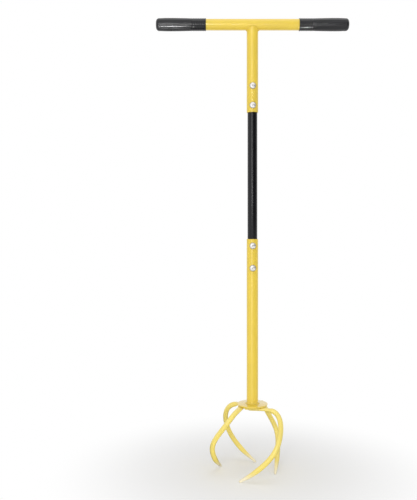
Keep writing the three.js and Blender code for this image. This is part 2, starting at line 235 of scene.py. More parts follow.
class TillerTubeSizes(bpy.types.PropertyGroup):
    """Sizes of the shaft's tubes, the crossbar and the hub plate."""

    stem_diameter: length_setting("Stem diameter", "Outer diameter of the two yellow shaft tubes", 0.025)
    wall: length_setting("Wall", "Wall thickness of every tube", 0.0015)
    rim_round: length_setting("Rim rounding", "Radius on the outer edge of a tube's end", 0.0004)
    seat_gap: length_setting("Seat gap", "Gap between pieces that touch", 0.0003)
    bead_radius: length_setting(
        "Saddle bead", "Radius of the weld bead under the crossbar, at the sides", 0.002
    )
    bead_front_share: share_setting(
        "Saddle bead in front", "Share of that radius which the bead keeps in front and behind", 0.55
    )
    bead_reach_share: share_setting(
        "Saddle bead reach", "How far the bead climbs round the crossbar, as a share of its radius", 0.93
    )
    foot_leg: length_setting(
        "Foot weld leg", "Width and height of the weld round the lower tube's foot", 0.003
    )
    weld_ripples: count_setting("Weld ripples", "Ripples in a weld that runs once round a tube", 38)
    ripple_depth: length_setting("Ripple depth", "How far a weld's ripples stand out", 0.00022)
    plate_chamfer: length_setting("Plate chamfer", "Rounding of the hub plate's edges", 0.0005)


class TillerGripSizes(bpy.types.PropertyGroup):
    """Sizes of the moulded grips."""

    swell_diameter: length_setting(
        "Swell diameter", "Greatest diameter of the palm, on the crests of the flutes", 0.0288
    )
    swell_share: share_setting(
        "Swell place", "Where the palm is thickest, as a share of its length", 0.72
    )
    end_diameter: length_setting("End diameter", "Diameter where the rounded nose begins", 0.0276)
    flange_diameter: length_setting(
        "Flange diameter", "Diameter of the band round the grip's mouth", 0.0275
    )
    flange_width: length_setting("Flange width", "Width of the band round the grip's mouth", 0.0034)
    ring_diameter: length_setting("Ring diameter", "Diameter on the crests of the rings", 0.0271)
    groove_diameter: length_setting(
        "Groove diameter", "Diameter in the grooves between the rings", 0.0262
    )
    ring_pitch: length_setting("Ring pitch", "Distance from one ring to the next", 0.0052)
    ring_count: count_setting("Rings", "Rings next to the flange", 5)
    flute_count: count_setting("Flutes", "Flutes round the palm", 12)
    flute_depth: length_setting("Flute depth", "Depth of a flute at its middle", 0.0004)
    nose_length: length_setting("Nose length", "Length of the rounded closed end", 0.008)
    blend_length: length_setting(
        "Flute run-out", "Length over which a flute fades out at its ends", 0.004
    )
    end_wall: length_setting("End wall", "Thickness of the closed end", 0.004)


class TillerClawSizes(bpy.types.PropertyGroup):
    """Sizes of the claw's four forged tines."""

    radius: length_setting("Claw radius", "Radius that the tines' stations are shares of", 0.085)
    turn: bpy.props.FloatProperty(
        name="Claw turn",
        description="Turn of the whole claw round the shaft",
        default=math.radians(-11.7),
        subtype="ANGLE",
        unit="ROTATION",
    )
    drift: length_setting("Claw drift", "How far the tips lie off the axis along X", -0.0138)
    rod_diameter: length_setting("Rod diameter", "Diameter of a tine before its taper", 0.011)
    tip_diameter: length_setting("Tip diameter", "Height of a tine's forged tip", 0.0046)
    taper_length: length_setting("Taper length", "Length over which a tine is forged slimmer", 0.046)
    taper_power: plain_setting("Taper power", "Above 1 the taper starts gently", 1.35)
    flat_share: share_setting("Tip flatness", "Width of the tip as a share of its height", 0.86)
    offset: length_setting("Root offset", "Distance of a tine's root from the shaft's axis", 0.02)
    tip_height: length_setting(
        "Tip height", "Height of the middle line over the ground at the tip", 0.0011
    )
    root_thickness: length_setting("Root thickness", "Height of a root, which is pressed flat", 0.007)
    root_width: length_setting("Root width", "Width of a root, which is pressed flat", 0.0138)
    root_blend: length_setting("Root blend", "Length over which a root turns round", 0.009)
    weld_width: length_setting("Root weld width", "Width over both beads beside a root", 0.0164)
    weld_share: share_setting(
        "Root weld reach", "How far out the beads run, as a share of the plate's radius", 0.5
    )


class TillerFastenerSizes(bpy.types.PropertyGroup):
    """Sizes of the bolts, washers and lock nuts."""

    thread_diameter: length_setting("Thread diameter", "Outer diameter of a bolt's shank", 0.006)
    bore_clearance: length_setting(
        "Bore clearance", "Gap all round the shank in a washer or a nut", 0.0003
    )
    thread_pitch: length_setting("Thread pitch", "Pitch of the thread", 0.001)
    head_diameter: length_setting("Head diameter", "Diameter of a bolt's domed head", 0.014)
    head_height: length_setting("Head height", "Height of a bolt's domed head", 0.0038)
    head_rim: length_setting("Head rim", "Height of the straight rim under the dome", 0.0009)
    socket_width: length_setting("Socket width", "Width across the flats of the hex socket", 0.004)
    socket_depth: length_setting("Socket depth", "Depth of the hex socket", 0.0022)
    nut_width: length_setting("Nut width", "Width across the flats of a lock nut", 0.01)
    nut_height: length_setting("Nut height", "Height of a lock nut's hexagon", 0.0046)
    collar_diameter: length_setting(
        "Collar diameter", "Diameter of the round collar that holds the nylon ring", 0.0088
    )
    edge_round: length_setting("Edge rounding", "Rounding of the small edges on the fasteners", 0.00025)


class TillerFinishes(bpy.types.PropertyGroup):
    """Colours of the finishes."""

    shaft_yellow: colour_setting(
        "Shaft yellow", "Powder coat on the tubes and the hub plate", (0.84, 0.612, 0.066)
    )
    tine_yellow: colour_setting("Tine yellow", "Powder coat on the tines", (0.92, 0.745, 0.175))
    # Pale tip colour: worn coat, and partly a painted highlight on the tines' lower ends
    tip_cream: colour_setting("Tip cream", "Pale worn coat on the tips", (0.92, 0.86, 0.7))
    tube_black: colour_setting("Tube black", "Paint on the middle tube", (0.006, 0.006, 0.0075))
    grip_grey: colour_setting("Grip grey", "Moulded plastic of the grips", (0.014, 0.014, 0.016))
    steel: colour_setting(
        "Bright steel", "Zinc plate on the bolts, washers and nuts", (0.87, 0.85, 0.82)
    )
    nylon: colour_setting("Nylon", "Locking ring in a nut's collar", (0.6, 0.62, 0.64))


class TillerStudio(bpy.types.PropertyGroup):
    """Camera, lamps and floor."""

    camera_place: bpy.props.FloatVectorProperty(
        name="Camera place",
        description="Where the camera stands",
        default=(-0.0963, -1.5, 0.5476),
        subtype="TRANSLATION",
        unit="LENGTH",
        size=3,
    )
    lens: plain_setting("Lens", "Focal length in millimetres", 49.25)
    horizon_shift: plain_setting(
        "Horizon shift", "Upward shift of the lens, as a share of the picture's height", -0.056
    )
    ambient: plain_setting("Ambient", "Strength of the light from all round", 0.67)
    key_power: power_setting("Key lamp", "Power of the tall lamp left of the camera", 11.0)
    front_power: power_setting("Front lamp", "Power of the soft lamp behind the camera", 7.0)
    strip_power: power_setting(
        "Strip lamp", "Power of the long low lamp that draws streaks along the handle", 0.36
    )
    top_power: power_setting("Top lamp", "Power of the lamp overhead", 7.6)
    low_left_power: power_setting(
        "Low left lamp", "Power of the small lamp near the floor that draws a line under the left grip", 0.038
    )
    low_right_power: power_setting(
        "Low right lamp", "Power of the small lamp near the floor that does so on the right", 0.0076
    )
    claw_power: power_setting("Claw lamp", "Power of the faint lamp that fills the claw's right side", 0.012)
    floor_colour: colour_setting("Floor colour", "Colour of the pale floor", (0.95, 0.95, 0.95))
    floor_clear: length_setting(
        "Floor clearing", "Distance from the tiller at which the floor starts to fade into the backdrop", 0.1
    )
    floor_fade: length_setting(
        "Floor fade", "Distance over which the floor fades into the backdrop", 0.36
    )


class Level:
    """A shader value that takes part in Python sums."""

    def __init__(self, finish, socket):
        self.finish = finish
        self.socket = socket

    def __add__(self, other):
        return self.finish.sum("ADD", self, other)

    def __sub__(self, other):
        return self.finish.sum("SUBTRACT", self, other)

    def __rsub__(self, other):
        return self.finish.sum("SUBTRACT", other, self)

    def __mul__(self, other):
        return self.finish.sum("MULTIPLY", self, other)

    def __pow__(self, other):
        return self.finish.sum("POWER", self, other)

    def __rpow__(self, other):
        return self.finish.sum("POWER", other, self)

    __radd__ = __add__
    __rmul__ = __mul__


class Finish:
    """A node tree, and the one way in which its nodes are made."""

    def __init__(self, tree):
        self.tree = tree
        self.tree.nodes.clear()

    def node(self, kind, settings=None, inputs=None):
        made = self.tree.nodes.new(kind)
        for key, value in (settings or {}).items():
            setattr(made, key, value)
        for key, value in (inputs or {}).items():
            if isinstance(value, Level):
                value = value.socket
            if isinstance(value, bpy.types.NodeSocket):
                self.tree.links.new(value, made.inputs[key])
            else:
                made.inputs[key].default_value = value
        return made

    def sum(self, operation, first, second, clamp=False):
        settings = {"operation": operation, "use_clamp": clamp}
        made = self.node("ShaderNodeMath", settings, {0: first, 1: second})
        return Level(self, made.outputs[0])

    def place(self, stretch=(1, 1, 1)):
        """Object coordinates, stretched."""
        coordinates = self.node("ShaderNodeTexCoord")
        mapping = self.node(
            "ShaderNodeMapping",
            {"vector_type": "POINT"},
            {"Vector": coordinates.outputs["Object"], "Scale": stretch},
        )
        return mapping.outputs["Vector"]

    def axes(self):
        """The three Object coordinates in metres, as levels."""
        split = self.node("ShaderNodeSeparateXYZ", None, {"Vector": self.place()})
        return [Level(self, split.outputs[axis]) for axis in "XYZ"]

    def noise(self, scale, detail=2.0, stretch=(1, 1, 1), roughness=0.5, distortion=0.0):
        made = self.node(
            "ShaderNodeTexNoise",
            {"noise_dimensions": "3D", "normalize": True},
            {
                "Vector": self.place(stretch),
                "Scale": scale,
                "Detail": detail,
                "Roughness": roughness,
                "Distortion": distortion,
            },
        )
        return Level(self, made.outputs["Fac"])

    def cells(self, scale):
        settings = {"voronoi_dimensions": "3D", "feature": "F1"}
        made = self.node("ShaderNodeTexVoronoi", settings, {"Vector": self.place(), "Scale": scale})
        return Level(self, made.outputs["Distance"])

    def span(self, value, start, end):
        """0 before start, 1 past end and a soft step between."""
        made = self.node(
            "ShaderNodeMapRange",
            {"interpolation_type": "SMOOTHSTEP", "clamp": True},
            {"Value": value, "From Min": start, "From Max": end, "To Min": 0, "To Max": 1},
        )
        return Level(self, made.outputs["Result"])

    def blend(self, share, first, second):
        """A colour between two, where share is a level."""
        settings = {"data_type": "RGBA", "blend_type": "MIX", "clamp_factor": True}
        return self.node("ShaderNodeMix", settings, {0: share, 6: first, 7: second}).outputs[2]

    def drifting(self, share, colour, first, second):
        """A colour that drifts from one factor of itself to another."""
        return self.blend(share, solid_colour(colour, first), solid_colour(colour, second))

    def dust(self, scale, size, cloud, thin):
        """Specks as wide as size at least, which thin out where the cloud is under that level."""
        speck = 1 - self.span(self.cells(scale), size, size + 0.06)
        return speck * self.span(cloud, thin, 0.7)

    def mark(self, name):
        """The level that a mesh carries under that name, 0 where it has none."""
        return Level(self, self.node("ShaderNodeAttribute", {"attribute_name": name}).outputs["Fac"])

    def bump(self, height, depth, strength):
        inputs = {"Height": height, "Distance": depth, "Strength": strength}
        return self.node("ShaderNodeBump", None, inputs).outputs["Normal"]

    def surface(self, **inputs):
        sockets = {key.replace("_", " "): value for key, value in inputs.items()}
        shader = self.node("ShaderNodeBsdfPrincipled", None, sockets)
        self.node("ShaderNodeOutputMaterial", None, {"Surface": shader.outputs["BSDF"]})


def new_finish(name):
    material = bpy.data.materials.new(name)
    material.use_nodes = True
    return material, Finish(material.node_tree)


def solid_colour(colour, factor=1.0):
    return (*(min(1.0, channel * factor) for channel in colour), 1.0)


def powder_coat(name, colour, gloss, tip_colour=None):
    """Semi-gloss powder coat: orange peel, soft shade drift, dust specks and hairline scuffs."""
    material, finish = new_finish(name)
    weld = finish.mark(WELD_MARK)
    drift = finish.noise(14, detail=3)
    cloud = finish.noise(120)
    peel = finish.noise(1100, roughness=0.6)
    swell = finish.noise(260, detail=1)
    beading = finish.noise(750, detail=3, roughness=0.65)
    hairs = finish.span(finish.noise(90, detail=3, stretch=(14, 14, 0.9), roughness=0.7), 0.69, 0.74)
    patch = finish.span(finish.noise(26), 0.52, 0.66)
    scuff = hairs * patch
    dusted = finish.dust(330, 0.05, cloud, 0.56)
    tone = finish.drifting(finish.span(drift, 0.3, 0.7), colour, 0.96, 1.03)
    tone = finish.blend(scuff * 0.4, tone, solid_colour(colour, 1.15))
    tone = finish.blend(dusted * 0.35, tone, solid_colour(colour, 0.7))
    tone = finish.blend(weld * (0.2 + beading * 0.3), tone, solid_colour(colour, 0.78))
    rough = 0.3 + cloud * 0.1 + scuff * 0.2 + dusted * 0.15 + weld * 0.08
    height = peel + swell * 0.8 + weld * beading * 4
    if tip_colour is not None:
        # Paler near the ground: partly worn coat, partly a painted highlight on the tines' lower ends
        level = finish.axes()[2] + (drift - 0.5) * 0.01 + (cloud - 0.5) * 0.004
        worn_and_highlight = 1 - finish.span(level, *TIP_WEAR_AND_HIGHLIGHT)
        grit = finish.span(finish.noise(700, detail=3, roughness=0.7), 0.4, 0.66)
        tone = finish.blend(worn_and_highlight * (0.7 + grit * 0.3), tone, solid_colour(tip_colour))
        rough = rough + worn_and_highlight * 0.12
        height = height + worn_and_highlight * grit * 0.5
    finish.surface(
        Base_Color=tone,
        Roughness=rough,
        Normal=finish.bump(height, depth=0.00009, strength=0.5),
        IOR=1.5,
        Coat_Weight=gloss,
        Coat_Roughness=0.14,
    )
    return material


def black_paint(name, colour):
    """Smooth semi-gloss black paint with faint draw lines and a little dust."""
    material, finish = new_finish(name)
    drift = finish.noise(20, detail=3)
    lines = finish.noise(160, detail=3, stretch=(1, 1, 0.03), roughness=0.6)
    peel = finish.noise(1300, roughness=0.6)
    cloud = finish.noise(150, detail=3)
    dusted = finish.dust(420, 0.04, cloud, 0.55)
    tone = finish.drifting(finish.span(drift, 0.3, 0.7), colour, 0.8, 1.3)
    tone = finish.blend(dusted * 0.25, tone, DUST_GREY)
    finish.surface(
        Base_Color=tone,
        Roughness=0.16 + lines * 0.06 + cloud * 0.04 + dusted * 0.2,
        Normal=finish.bump(peel * 0.6 + lines * 0.5, depth=0.00005, strength=0.5),
        IOR=1.45,
        Specular_IOR_Level=0.4,
    )
    return material


def moulded_grip(name, colour, palm_start):
    """Satin moulded plastic: fine grain, flow marks, smoother rings and shine where hands hold it."""
    material, finish = new_finish(name)
    grain = finish.noise(2600, roughness=0.65)
    pits = finish.cells(1500)
    flow = finish.noise(40, detail=3, stretch=(0.35, 1, 1), distortion=0.6)
    handled = finish.span(finish.noise(18), 0.35, 0.7)
    from_middle = finish.sum("ABSOLUTE", finish.axes()[0], 0)
    ringed = 1 - finish.span(from_middle, *(palm_start + end for end in RING_SHINE))
    finish.surface(
        Base_Color=finish.drifting(finish.span(flow, 0.3, 0.7), colour, 0.8, 1.25),
        Roughness=0.29 - handled * 0.06 + grain * 0.06 - ringed * 0.17,
        Normal=finish.bump(grain * 0.7 + pits * 0.5, depth=0.00005, strength=0.4),
        IOR=1.46,
        Specular_IOR_Level=0.42,
    )
    return material


def bright_steel(name, colour):
    """Bright zinc plate: a fine spangle, polishing lines, duller spots, and grime with painted shade in
    recesses.
    """
    material, finish = new_finish(name)
    recess = finish.mark(RECESS_MARK)
    spangle = finish.cells(900)
    lines = finish.noise(700, stretch=(1, 0.15, 1), roughness=0.6)
    cloud = finish.noise(220, detail=3)
    dull = finish.span(cloud, 0.5, 0.72)
    # Painted shade with some grime: the recess mark darkens the socket, the threads and a ring round the
    # head's rim
    shade_and_grime = recess * (0.75 + cloud * 0.25)
    finish.surface(
        Base_Color=finish.blend(shade_and_grime, finish.drifting(dull * 0.35, colour, 1, 0.8), SHADE_AND_GRIME_BROWN),
        Metallic=0.65 - shade_and_grime * 0.4,
        Roughness=0.24 + spangle * 0.08 + dull * 0.12 + recess * 0.25,
        Normal=finish.bump(lines + spangle * 0.4, depth=0.00003, strength=0.3),
    )
    return material


def milky_nylon(name, colour):
    """Milky nylon with a soft mottle."""
    material, finish = new_finish(name)
    cloud = finish.noise(500)
    finish.surface(
        Base_Color=finish.drifting(cloud, colour, 0.85, 1.1),
        Roughness=0.38 + cloud * 0.1,
        Normal=finish.bump(cloud, depth=0.00004, strength=0.4),
    )
    return material


def finish_named(name, maker, *inputs):
    """The material of that name, made once."""
    return bpy.data.materials.get(name) or maker(name, *inputs)


def shaft_coat(context):
    yellow = context.scene.tiller_finishes.shaft_yellow
    return finish_named("shaft_powder_coat", powder_coat, yellow, SHAFT_GLOSS)


def plated_steel(context):
    return finish_named("bright_zinc", bright_steel, context.scene.tiller_finishes.steel)


def settle(name, shape, material, node):
    """Makes a bmesh the piece that stands for a CAD node, and lets it ride on the one body."""
    bmesh.ops.remove_doubles(shape, verts=shape.verts, dist=MERGE)
    bmesh.ops.recalc_face_normals(shape, faces=shape.faces)
    mesh = bpy.data.meshes.new(name)
    shape.to_mesh(mesh)
    shape.free()
    mesh.shade_smooth()
    mesh.set_sharp_from_angle(angle=CREASE)
    mesh.materials.append(material)
    piece = bpy.data.objects.new(name, mesh)
    bpy.context.scene.collection.objects.link(piece)
    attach(piece, BODY)
    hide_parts(node)


def new_shape():
    """An empty bmesh that can carry the marks."""
    shape = bmesh.new()
    for name in (WELD_MARK, RECESS_MARK):
        shape.verts.layers.float.new(name)
    return shape


def turned(profile, facets, closed=True):
    """A profile of (radius, height) pairs, spun once round the Z axis."""
    shape = new_shape()
    corners = [shape.verts.new((radius, 0, height)) for radius, height in profile]
    edges = [shape.edges.new(pair) for pair in zip(corners, corners[1:])]
    if closed:
        edges.append(shape.edges.new((corners[-1], corners[0])))
    bmesh.ops.spin(
        shape,
        geom=corners + edges,
        cent=(0, 0, 0),
        axis=UP,
        dvec=(0, 0, 0),
        angle=math.tau,
        steps=facets,
        use_merge=True,
        use_normal_flip=False,
        use_duplicate=False,
    )
    bmesh.ops.remove_doubles(shape, verts=shape.verts, dist=MERGE)
    return shape


def pipe(inner, outer, low, high, facets):
    """A plain pipe up the Z axis."""
    return turned([(inner, low), (outer, low), (outer, high), (inner, high)], facets)


def ring_edges(shape, radius, height):
    """The edges of the ring with that radius and height round the Z axis."""

    def on_ring(vert):
        return abs(vert.co.xy.length - radius) < CLOSE and abs(vert.co.z - height) < CLOSE

    return [edge for edge in shape.edges if all(on_ring(vert) for vert in edge.verts)]


def round_rings(shape, rings, offset, segments=3):
    """Rounds the rings given as (radius, height) pairs."""
    edges = [edge for radius, height in rings for edge in ring_edges(shape, radius, height)]
    bmesh.ops.bevel(
        shape,
        geom=edges,
        offset=offset,
        offset_type="OFFSET",
        affect="EDGES",
        segments=segments,
        profile=0.5,
        material=-1,
    )


def round_ended_tube(sizes, radius, low, high):
    """A tube up the Z axis with the edges of both its ends rounded."""
    shape = pipe(radius - sizes.wall, radius, low, high, TUBE_FACETS)
    round_rings(shape, [(radius, low), (radius, high)], sizes.rim_round)
    return shape


def move(shape, matrix):
    bmesh.ops.transform(shape, matrix=matrix, verts=shape.verts)


def pulled(shape, edges):
    """Pulls a new loop out of a loop of edges, and gives its vertices and edges."""
    made = bmesh.ops.extrude_edge_only(shape, edges=edges)["geom"]
    ring = [item for item in made if isinstance(item, bmesh.types.BMVert)]
    edges = [item for item in made if isinstance(item, bmesh.types.BMEdge)]
    return ring, [edge for edge in edges if all(vert in ring for vert in edge.verts)]


def swept(stations, facets, looped=False):
    """A skin over rings, each a matrix that places the unit circle: capped, or closed into a loop."""
    shape = new_shape()
    ring = bmesh.ops.create_circle(shape, cap_ends=not looped, segments=facets, radius=1)["verts"]
    bmesh.ops.transform(shape, matrix=stations[0], verts=ring)
    edges = shape.edges[:]
    ahead = stations[1:] + (stations[:1] if looped else [])
    for before, after in zip(stations, ahead):
        ring, edges = pulled(shape, edges)
        bmesh.ops.transform(shape, matrix=after @ before.inverted(), verts=ring)
    if looped:
        bmesh.ops.remove_doubles(shape, verts=shape.verts, dist=MERGE)
    else:
        bmesh.ops.edgeloop_fill(shape, edges=edges)
    return shape


def marked(shape, name, verts, level=1.0):
    """Gives the vertices a level that materials read under that name."""
    for vert in verts:
        vert[shape.verts.layers.float[name]] = level


def weld_on(shape, bead):
    """Adds a weld bead to the shape it is fused with."""
    mesh = bpy.data.meshes.new("bead")
    bead.to_mesh(mesh)
    bead.free()
    count = len(shape.verts)
    shape.from_mesh(mesh)
    bpy.data.meshes.remove(mesh)
    marked(shape, WELD_MARK, shape.verts[:][count:])


def mix(first, second, share):
    return first + (second - first) * share


def smooth(value, start, end):
    share = min(1.0, max(0.0, (value - start) / (end - start)))
    return share * share * (3 - 2 * share)


def ring_matrix(centre, tangent, up, high, wide):
    """Places the unit circle square to the tangent, so high along up and so wide across it."""
    side = up.cross(tangent)
    matrix = Matrix.Identity(4)
    for column, vector in enumerate((up * high, side * wide, tangent, centre)):
        matrix.col[column].xyz = vector
    return matrix


class TILLER_OT_crossbar(bpy.types.Operator):
    """Make the crossbar's tube"""

    bl_idname = "tiller.crossbar"
    bl_label = "Crossbar"

    def execute(self, context):
        shape = round_ended_tube(context.scene.tiller_tubes, BAR_RADIUS, BAR_LOW.x, BAR_HIGH.x)
        move(shape, Matrix.Translation((0, 0, BAR_LEVEL)) @ Matrix.Rotation(QUARTER_TURN, 4, "Y"))
        settle("crossbar_tube", shape, shaft_coat(context), "crossbar")
        return {"FINISHED"}


def palm_diameter(sizes, share):
    """Diameter at a share of the palm, on the crests of the flutes."""
    place = sizes.swell_share
    if share < place:
        rise = math.sin(share / place * QUARTER_TURN)
        return mix(sizes.ring_diameter, sizes.swell_diameter, rise)
    fall = 1 - math.cos((share - place) / (1 - place) * QUARTER_TURN)
    return mix(sizes.swell_diameter, sizes.end_diameter, fall)


def grip_profile(sizes, bore, palm_start, palm_end, length):
    """Half the section of a grip from its bore's end to its mouth and on to its nose."""
    profile = [(0, length - sizes.end_wall), (bore, length - sizes.end_wall), (bore, 0)]
    groove = sizes.groove_diameter
    humps = [(0, sizes.flange_width, sizes.flange_diameter)]
    for ring in range(sizes.ring_count):
        start = sizes.flange_width + ring * sizes.ring_pitch
        humps.append((start, sizes.ring_pitch, sizes.ring_diameter))
    for start, width, crest in humps:
        for step in range(RING_STEPS + 1):
            share = step / RING_STEPS
            rise = math.sin(share * math.pi) ** RING_POWER
            profile.append((mix(groove, crest, rise) / 2, start + width * share))
    for step in range(1, PALM_STEPS + 1):
        share = step / PALM_STEPS
        along = mix(palm_start, palm_end, share)
        rise = smooth(along - palm_start, 0, sizes.blend_length / 2)
        profile.append((mix(groove, palm_diameter(sizes, share), rise) / 2, along))
    for step in range(1, NOSE_STEPS):
        turn = step / NOSE_STEPS * QUARTER_TURN
        radius = sizes.end_diameter / 2 * math.cos(turn) ** NOSE_POWER
        profile.append((radius, palm_end + sizes.nose_length * math.sin(turn)))
    return profile + [(0, length)]


def make_grip(sizes, bore, palm_start, length):
    """A grip up the Z axis from its mouth, ringed and fluted."""
    palm_end = length - sizes.nose_length
    profile = grip_profile(sizes, bore, palm_start, palm_end, length)
    shape = turned(profile, sizes.flute_count * FLUTE_FACETS)
    least = (sizes.groove_diameter / 2 + bore) / 2
    for vert in shape.verts:
        radius = vert.co.xy.length
        if radius < least or vert.co.z < palm_start:
            continue
        rise = smooth(vert.co.z, palm_start, palm_start + sizes.blend_length)
        fade = 1 - smooth(vert.co.z, palm_end - sizes.blend_length, palm_end + sizes.nose_length / 2)
        turn = math.atan2(vert.co.y, vert.co.x)
        valley = (0.5 - 0.5 * math.cos(sizes.flute_count * turn)) ** VALLEY_POWER
        vert.co.xy *= 1 - sizes.flute_depth * valley * rise * fade / radius
    return shape


class TILLER_OT_grips(bpy.types.Operator):
    """Make the two moulded grips"""

    bl_idname = "tiller.grips"
    bl_label = "Grips"

    def execute(self, context):
        sizes = context.scene.tiller_grips
        bore = BAR_RADIUS + context.scene.tiller_tubes.seat_gap
        grey = context.scene.tiller_finishes.grip_grey
        palm_start = sizes.flange_width + sizes.ring_count * sizes.ring_pitch
        plastic = finish_named("grip_moulded", moulded_grip, grey, GRIP_LOW.x + palm_start)
        for side, name in ((1, "right"), (-1, "left")):
            shape = make_grip(sizes, bore, palm_start, GRIP_HIGH.x - GRIP_LOW.x)
            lay = Matrix.Rotation(side * QUARTER_TURN, 4, "Y")
            move(shape, Matrix.Translation((side * GRIP_LOW.x, 0, BAR_LEVEL)) @ lay)
            settle(f"grip_{name}_sleeve", shape, plastic, f"grip_{name}")
        return {"FINISHED"}


def saddle(radius, across):
    """Height at which the crossbar's underside passes over a point so far across it."""
    return BAR_LEVEL - math.sqrt(max(0.0, radius ** 2 - across ** 2))


def saddle_bead(sizes, stem_radius):
    """The weld bead that follows the saddle, fuller at the sides than in front."""
    stations = []
    for step in range(STEM_FACETS):
        turn = step / STEM_FACETS * math.tau
        across = sizes.bead_reach_share * BAR_RADIUS * math.sin(turn)
        outward = Vector((math.cos(turn), math.sin(turn), 0))
        centre = outward * stem_radius + UP * saddle(BAR_RADIUS, across)
        size = sizes.bead_radius * mix(sizes.bead_front_share, 1, math.cos(turn) ** 2)
        size += sizes.ripple_depth * math.cos(turn * sizes.weld_ripples)
        stations.append(ring_matrix(centre, UP.cross(outward), UP, size, size))
    return swept(stations, BEAD_FACETS, looped=True)


class TILLER_OT_upper_stem(bpy.types.Operator):
    """Make the upper stem, coped and welded to the crossbar"""

    bl_idname = "tiller.upper_stem"
    bl_label = "Upper Stem"

    def execute(self, context):
        sizes = context.scene.tiller_tubes
        outer = sizes.stem_diameter / 2
        shape = pipe(outer - sizes.wall, outer, STEM_LOW.z, BAR_LEVEL, STEM_FACETS)
        round_rings(shape, [(outer, STEM_LOW.z)], sizes.rim_round)
        for vert in shape.verts:
            if vert.co.z > BAR_LEVEL - CLOSE:
                vert.co.z = saddle(BAR_RADIUS + sizes.seat_gap, vert.co.y)
        weld_on(shape, saddle_bead(sizes, outer))
        settle("upper_stem_tube", shape, shaft_coat(context), "upper_stem")
        return {"FINISHED"}


class TILLER_OT_middle_tube(bpy.types.Operator):
    """Make the black middle tube"""

    bl_idname = "tiller.middle_tube"
    bl_label = "Middle Tube"

    def execute(self, context):
        sizes = context.scene.tiller_tubes
        shape = round_ended_tube(sizes, MIDDLE_RADIUS, MIDDLE_LOW.z, MIDDLE_HIGH.z)
        black = context.scene.tiller_finishes.tube_black
        paint = finish_named("middle_tube_black", black_paint, black)
        settle("middle_tube_painted", shape, paint, "middle_tube")
        return {"FINISHED"}


class TILLER_OT_lower_tube(bpy.types.Operator):
    """Make the lower tube with the rippled weld round its foot"""

    bl_idname = "tiller.lower_tube"
    bl_label = "Lower Tube"

    def execute(self, context):
        sizes = context.scene.tiller_tubes
        outer = sizes.stem_diameter / 2
        inner = outer - sizes.wall
        leg = sizes.foot_leg
        foot = TUBE_LOW.z
        profile = [(inner, foot)]
        for step in range(FOOT_STEPS + 1):
            turn = step / FOOT_STEPS * QUARTER_TURN
            profile.append((outer + leg * (1 - math.sin(turn)), foot + leg * (1 - math.cos(turn))))
        profile += [(outer, TUBE_HIGH.z), (inner, TUBE_HIGH.z)]
        shape = turned(profile, FOOT_FACETS)
        round_rings(shape, [(outer, TUBE_HIGH.z)], sizes.rim_round)
        for vert in shape.verts:
            radius = vert.co.xy.length
            if vert.co.z > foot + leg or radius < outer:
                continue
            bulge = math.sin(math.pi * smooth(vert.co.z, foot, foot + leg))
            ripple = math.cos(sizes.weld_ripples * math.atan2(vert.co.y, vert.co.x))
            push = bulge * (leg * FOOT_BULGE_SHARE + sizes.ripple_depth * ripple)
            vert.co.xy *= 1 + push / radius
        toe = [vert for vert in shape.verts if vert.co.z < foot + leg and vert.co.xy.length > outer]
        marked(shape, WELD_MARK, toe)
        settle("lower_tube_welded", shape, shaft_coat(context), "lower_tube")
        return {"FINISHED"}


class TILLER_OT_hub_plate(bpy.types.Operator):
    """Make the round hub plate"""

    bl_idname = "tiller.hub_plate"
    bl_label = "Hub Plate"

    def execute(self, context):
        rims = [(PLATE_RADIUS, PLATE_LOW.z), (PLATE_RADIUS, PLATE_HIGH.z)]
        profile = [(0, PLATE_LOW.z), *rims, (0, PLATE_HIGH.z)]
        shape = turned(profile, PLATE_FACETS, closed=False)
        round_rings(shape, rims, context.scene.tiller_tubes.plate_chamfer, segments=4)
        yellow = context.scene.tiller_finishes.shaft_yellow
        coat = finish_named("plate_powder_coat", powder_coat, yellow, PLATE_GLOSS)
        settle("hub_disc", shape, coat, "hub_plate")
        return {"FINISHED"}


def root_start(claw, gap, more_degrees):
    """Where a root begins: beside the next tine, which has so much more turn."""
    more = math.radians(more_degrees)
    side = claw.offset - claw.weld_width / 2
    corner = side + claw.weld_width if more > 0 else side
    along = (corner - side * math.sin(more)) / math.cos(more)
    return along * math.sin(more) - side * math.cos(more) + gap


def tine_points(claw, start, turn, level):
    """The points that a tine's middle line goes through."""
    root_end = claw.weld_share * PLATE_RADIUS
    shares = []
    for along in (start, (start + root_end) / 2, root_end):
        shares.append((math.hypot(along, claw.offset), math.atan2(-claw.offset, along), 0.0))
    for radius, degrees, fall in TINE_STATIONS:
        shares.append((radius * claw.radius, math.radians(degrees), fall))
    points = []
    for radius, angle, fall in shares:
        across = radius * math.cos(turn + angle) + claw.drift * fall
        points.append(Vector((across, radius * math.sin(turn + angle), mix(level, claw.tip_height, fall))))
    return points


def centripetal(points):
    """A dense line on the centripetal spline through the points."""
    ends = (2 * points[0] - points[1], 2 * points[-1] - points[-2])
    chain = [ends[0], *points, ends[1]]
    line = []
    for index in range(len(points) - 1):
        p0, p1, p2, p3 = chain[index:index + 4]
        t1 = (p1 - p0).length ** 0.5
        t2 = t1 + (p2 - p1).length ** 0.5
        t3 = t2 + (p3 - p2).length ** 0.5
        for step in range(SPLINE_STEPS):
            t = mix(t1, t2, step / SPLINE_STEPS)
            a1 = mix(p0, p1, t / t1)
            a2 = mix(p1, p2, (t - t1) / (t2 - t1))
            a3 = mix(p2, p3, (t - t2) / (t3 - t2))
            b1 = mix(a1, a2, t / t2)
            b2 = mix(a2, a3, (t - t1) / (t3 - t1))
            line.append(mix(b1, b2, (t - t1) / (t2 - t1)))
    return line + [points[-1]]


def evenly(line, count):
    """The line as count + 1 points at equal distances, and its length."""
    reach = [0.0]
    for first, second in zip(line, line[1:]):
        reach.append(reach[-1] + (second - first).length)
    points = []
    index = 0
    for step in range(count + 1):
        target = reach[-1] * step / count
        while index < len(line) - 2 and reach[index + 1] < target:
            index += 1
        share = (target - reach[index]) / (reach[index + 1] - reach[index])
        points.append(mix(line[index], line[index + 1], min(1.0, share)))
    return points, reach[-1]


